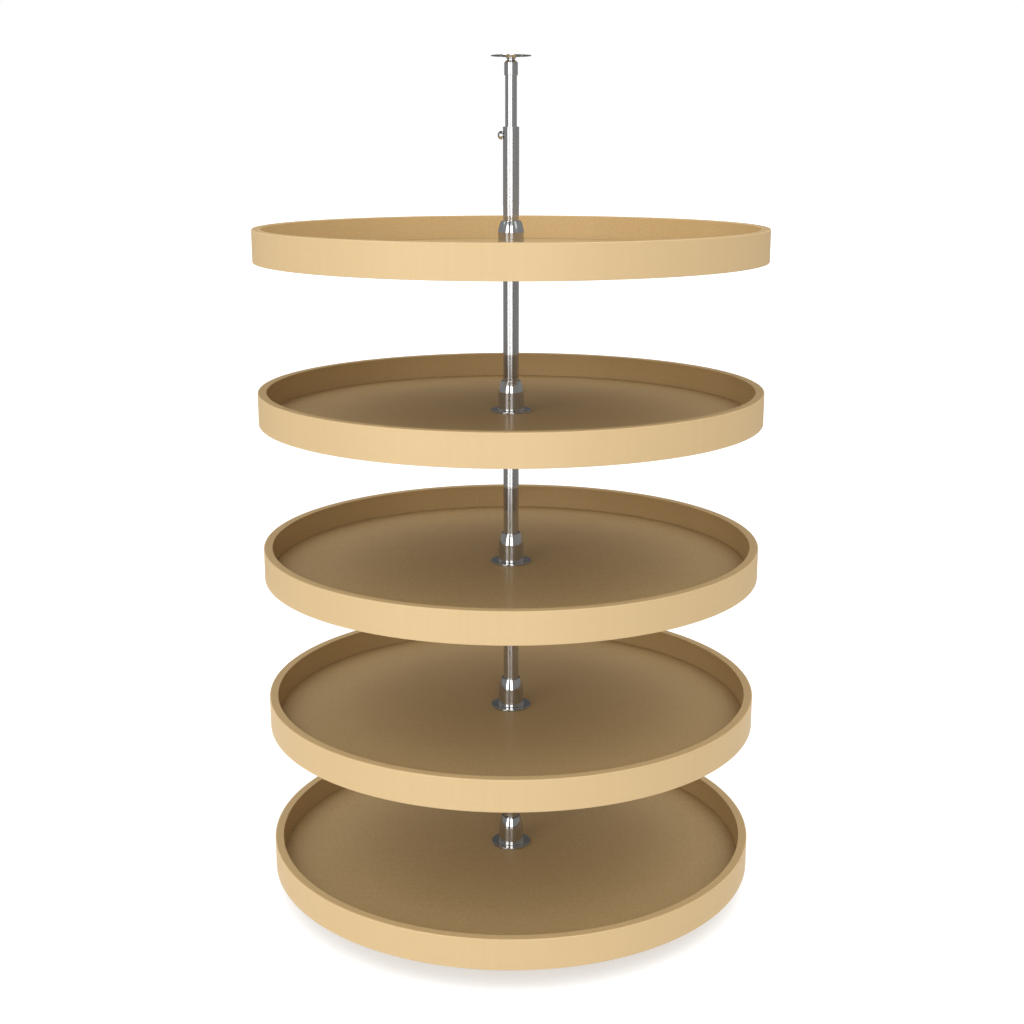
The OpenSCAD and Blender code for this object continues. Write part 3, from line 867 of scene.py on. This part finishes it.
# %% Lock screw
HEAD_R, HEAD_ROUND = 6.5 * MM, 5.5 * MM
HEAD_GAP = 0.8 * MM      # between the head and the pole
LOCK_PITCH, LOCK_DEEP, LOCK_STEP = 1.0 * MM, 0.4 * MM, 0.08 * MM   # its thread, and the height between points
LOCK_SOCKET, LOCK_SOCKET_DEEP = 4.0 * MM, 4.0 * MM


def lock_screw():
    """Shank and head along Z, from the tip to the head's end, then turned to the left."""
    tip, end = -lock_high.x, -lock_low.x
    base = pole_r + HEAD_GAP
    z = np.arange(tip + 3 * BREAK, base - BREAK, LOCK_STEP)
    outline = rounded([
        (0, tip), (LOCK_SHANK_R, tip, BREAK), *[(LOCK_SHANK_R, at) for at in z], (LOCK_SHANK_R, base),
        (HEAD_R, base, 2 * BREAK), (HEAD_R, end, HEAD_ROUND), (0, end)], steps=16)
    screw = turned("domed_lock_screw", outline, around=128,
                   thread=(tip + 2 * BREAK, base - BREAK / 2, LOCK_PITCH, LOCK_DEEP))
    socket = drill(across_corners(LOCK_SOCKET), end - LOCK_SOCKET_DEEP, end + OVER, sides=6)
    cut(screw, [socket], edge=0.12 * MM)
    screw.data.transform(TO_LEFT)
    return screw


stands_for(lock_screw(), "lock_screw", "chrome")

# %% [markdown]
# ## Pieces that stay as they are
# The stud, the guide sleeve, the pivot bush and the brass pad sit inside others and show at most a
# narrow ring. Their shapes in the frame are right already, so they only get their finish.

# %% Finishes for the inner pieces
for node, slot in {"base_stud": "chrome", "guide_sleeve": "zinc_steel", "pivot_bush": "nylon",
                   "lock_pad": "brass"}.items():
    inner_piece = frame["nodes"][node]
    inner_piece.data.materials.clear()
    inner_piece.data.materials.append(finishes[slot])

# %% [markdown]
# ## The studio
# The object stands in plain, soft light. An even world would light the round rims flatly. So this one
# gives light from below and from high above, and none near the horizon, and leaves the front to two
# lamps that model the rims. Together they are as strong as it takes for a colour to render about as it
# is written. The camera and the mirrors see plain white instead.

# %% World
SKY = [                  # how high a direction points, as a sine, and how much light comes from there
    (-1.0, 0.63), (-0.04, 0.63), (0.0, 0.0), (0.30, 0.0), (0.38, 1.3), (1.0, 1.95)]


def seen_directly(tree):
    """1 for rays that come straight from the camera, or by way of a mirror or glass."""
    path = wired(tree, "ShaderNodeLightPath").outputs
    seen = path["Is Camera Ray"]
    for ray in ("Is Glossy Ray", "Is Transmission Ray"):
        seen = wired(tree, "ShaderNodeMath", {0: seen, 1: path[ray]}, operation="MAXIMUM").outputs[0]
    return seen


world = bpy.data.worlds.new("studio")
bpy.context.scene.world = world
world.use_nodes = True
tree = world.node_tree
tree.nodes.clear()
direction = wired(tree, "ShaderNodeTexCoord").outputs["Generated"]
up = wired(tree, "ShaderNodeSeparateXYZ", {"Vector": direction}).outputs["Z"]
stops = [((sine + 1) / 2, (light,) * 3) for sine, light in SKY]
bands = ramp(tree, remap(tree, up, 0.0, 1.0, start=-1.0, end=1.0), stops)
plain = wired(tree, "ShaderNodeBackground", {"Color": bands, "Strength": 1.0}).outputs[0]
white = wired(tree, "ShaderNodeBackground", {"Color": (1, 1, 1, 1), "Strength": 1.0}).outputs[0]
mixed = wired(tree, "ShaderNodeMixShader", {0: seen_directly(tree), 1: plain, 2: white})
wired(tree, "ShaderNodeOutputWorld", {"Surface": mixed.outputs[0]})

# %% [markdown]
# ## A pale floor
# White paint in soft light renders grey, and a stronger lamp would bleach the object too. So the floor
# glows a little for the camera and in mirrors, which lifts it to white and leaves the object's shadow.

# %% Floor
FLOOR_SIZE = 30.0        # metres from the middle to each side
FLOOR_GREY = (0.6, 0.6, 0.6, 1.0)
FLOOR_GLOW = 0.50        # what lifts the lit floor to white


def stage_plate(name, points, faces, material):
    """A flat or curved part of the stage, which isn't part of the object."""
    mesh = bpy.data.meshes.new(name)
    mesh.from_pydata(np.asarray(points).tolist(), [], np.asarray(faces).tolist())
    mesh.materials.append(material)
    plate = linked(name, mesh)
    plate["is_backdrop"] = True
    return plate


def pale_floor():
    """Pale paint that also glows for the camera and in mirrors, and is clear from below."""
    made, shader = finish("pale_floor", Base_Color=FLOOR_GREY, Roughness=0.9, Specular_IOR_Level=0.0,
                          Emission_Color=(1.0, 1.0, 1.0, 1.0))
    tree = made.node_tree
    glow = wired(tree, "ShaderNodeMath", {0: seen_directly(tree), 1: FLOOR_GLOW}, operation="MULTIPLY")
    tree.links.new(glow.outputs[0], shader.inputs["Emission Strength"])
    below = wired(tree, "ShaderNodeNewGeometry").outputs["Backfacing"]
    clear = wired(tree, "ShaderNodeBsdfTransparent").outputs[0]
    both = wired(tree, "ShaderNodeMixShader", {0: below, 1: shader.outputs[0], 2: clear})
    tree.links.new(both.outputs[0], tree.nodes["Material Output"].inputs["Surface"])
    return made


square = np.array([[-1, -1, 0], [1, -1, 0], [1, 1, 0], [-1, 1, 0]]) * FLOOR_SIZE
studio_floor = stage_plate("studio_floor", square, [[0, 1, 2, 3]], pale_floor())
studio_floor.visible_diffuse = False   # the light from below comes from the world instead

# %% [markdown]
# ## Cards for the chrome
# Chrome in a white world would vanish, so photographers stand cards round it. Here grey walls go all
# the way round, darker behind the object and above its front, and a dark disc closes the top. Two
# bright strips hang before them at the front and two dimmer panels high up at the sides, and these are
# the lines and glints that the chrome shows. Only reflections see the cards, so they take no light
# away, add none and cast no shadow.

# %% Cards for reflections
CARD_R, CARD_LOW, STRIP_TOP, CARD_TOP = 1.9, -0.6, 2.35, 4.0   # distance from the pole, and heights of edges
PANEL_GAP = 0.02         # from a wall to the panels before it
WALLS = {                # azimuths of both ends from the front, heights of both edges, and how bright
    "grey_right": (15.0, 150.0, CARD_LOW, CARD_TOP, 0.33),
    "dark_back": (150.0, 210.0, CARD_LOW, CARD_TOP, 0.10),
    "grey_left": (210.0, 312.0, CARD_LOW, CARD_TOP, 0.33),
    "grey_front": (-48.0, 15.0, CARD_LOW, STRIP_TOP, 0.33),
    "dark_above": (-48.0, 15.0, STRIP_TOP, CARD_TOP, 0.16),
}
PANELS = {               # the same for those that hang before the walls
    "strip_left": (-46.9, -24.5, CARD_LOW, STRIP_TOP, 4.6),
    "strip_front": (-6.5, 15.6, CARD_LOW, STRIP_TOP, 4.6),
    "high_left": (-94.0, -78.0, 2.1, CARD_TOP, 1.3),
    "high_right": (46.0, 66.0, 1.95, CARD_TOP, 1.3),
}
CEILING = 0.14           # brightness of the dark disc
CEILING_HOLE = 1 * MM    # radius of the disc's inner edge, all but closed


def glowing(name, radiance):
    """Plain white that glows this brightly and needs no lamp."""
    made = bpy.data.materials.new(name)
    made.use_nodes = True
    tree = made.node_tree
    glow = wired(tree, "ShaderNodeEmission", {"Color": (1.0, 1.0, 1.0, 1.0), "Strength": radiance})
    tree.links.new(glow.outputs[0], tree.nodes["Material Output"].inputs["Surface"])
    return made


def facing(azimuth):
    """Directions on the floor: azimuth 0 is towards the camera and grows to the right."""
    return np.stack([np.sin(azimuth), -np.cos(azimuth)], -1)


def card(name, rings, radiance):
    """A strip between two rings of points, seen only in reflections."""
    steps = len(rings[0]) - 1
    k = np.arange(steps)
    faces = np.stack([k, k + 1, k + steps + 2, k + steps + 1], -1)
    made = stage_plate(name, np.vstack(rings), faces, glowing(name, radiance))
    for ray in ("camera", "diffuse", "transmission", "volume_scatter", "shadow"):
        setattr(made, f"visible_{ray}", False)


def ring(start, end, radius, height, steps=48):
    """Points on a circle round the object, between two azimuths."""
    plan = facing(np.radians(np.linspace(start, end, steps + 1))) * radius
    return np.column_stack([plan, np.full(steps + 1, height)])


for cards, radius in ((WALLS, CARD_R), (PANELS, CARD_R - PANEL_GAP)):
    for name, (start, end, low, high, radiance) in cards.items():
        card(name, [ring(start, end, radius, low), ring(start, end, radius, high)], radiance)
card("dark_ceiling", [ring(0, 360, CARD_R, CARD_TOP), ring(0, 360, CEILING_HOLE, CARD_TOP)], CEILING)
print(len(WALLS) + len(PANELS) + 1, "cards stand round the object")

# %% [markdown]
# ## Two lamps
# Both lamps stand so far away that every tray gets nearly the same light, and they are large enough to
# look soft. A lamp's power is worked out from how bright its face should be: a face of radiance L and
# area A gives off pi * L * A watts.

# %% Lamps
LAMP_R, LAMP_LOW, LAMP_HIGH = 9.0, 1.4, 4.6   # distance from the pole, and heights of the edges
LAMP_RADIANCE = 3.9
LAMPS = {"lamp_left": (-40, 32), "lamp_front": (9, 22)}   # azimuth from the front and width, in degrees


def lamp(name, azimuth, spread):
    """A tall area lamp at this azimuth from the object, as wide as the spread, facing the pole."""
    light = bpy.data.lights.new(name, "AREA")
    light.shape = "RECTANGLE"
    light.size, light.size_y = 2 * LAMP_R * math.tan(spread / 2), LAMP_HIGH - LAMP_LOW
    light.energy = math.pi * LAMP_RADIANCE * light.size * light.size_y
    stand = bpy.data.objects.new(name, light)
    stand.location = (*(facing(azimuth) * LAMP_R), (LAMP_LOW + LAMP_HIGH) / 2)
    stand.rotation_euler = (math.pi / 2, 0, azimuth)
    stand.visible_camera = stand.visible_glossy = False
    bpy.context.scene.collection.objects.link(stand)
    return light.energy


for name, (azimuth, spread) in LAMPS.items():
    print(name, round(lamp(name, math.radians(azimuth), math.radians(spread)), 1), "watts")

# %% [markdown]
# ## The camera
# The camera stands a little above the top tray, 2.4 m from the pole, and looks slightly down. Its lens
# is given by two lengths in pixels, the picture's width and the focal length, because these can be
# fitted to the edges of the trays.

# %% Camera
PICTURE = 1024           # width of the picture in pixels
FOCAL_PX = 1493.9
POLE_PX = 511.04         # where the pole's axis falls in the picture
EYE_BACK, EYE_UP = 2.4058, 1.22905            # metres before the pole and above the floor
EYE_TILT = math.radians(13.759)               # how far it looks down
SENSOR = 36.0            # width of the sensor, in millimetres
camera = bpy.data.cameras.new("camera")
camera.sensor_width = SENSOR
camera.lens = FOCAL_PX / PICTURE * SENSOR
camera.shift_x = (PICTURE / 2 - POLE_PX) / PICTURE
eye = bpy.data.objects.new("camera", camera)
eye.location = (0.0, -EYE_BACK, EYE_UP)
eye.rotation_euler = (math.pi / 2 - EYE_TILT, 0.0, 0.0)
bpy.context.scene.collection.objects.link(eye)
bpy.context.scene.camera = eye
bpy.context.scene.view_settings.view_transform = "Standard"
print("lens", round(camera.lens, 2), "mm")

# %% [markdown]
# ## The size, before and after
# The dressed object's box is compared with the construction's, and the largest difference is printed.
# The dressed object may not outgrow the construction.

# %% Sizes and the end
low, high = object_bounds()
grown = max(abs(a - b) for a, b in zip([*low, *high], [*cad_low, *cad_high]))
print(f"largest difference of the boxes: {grown / MM:.3f} mm")
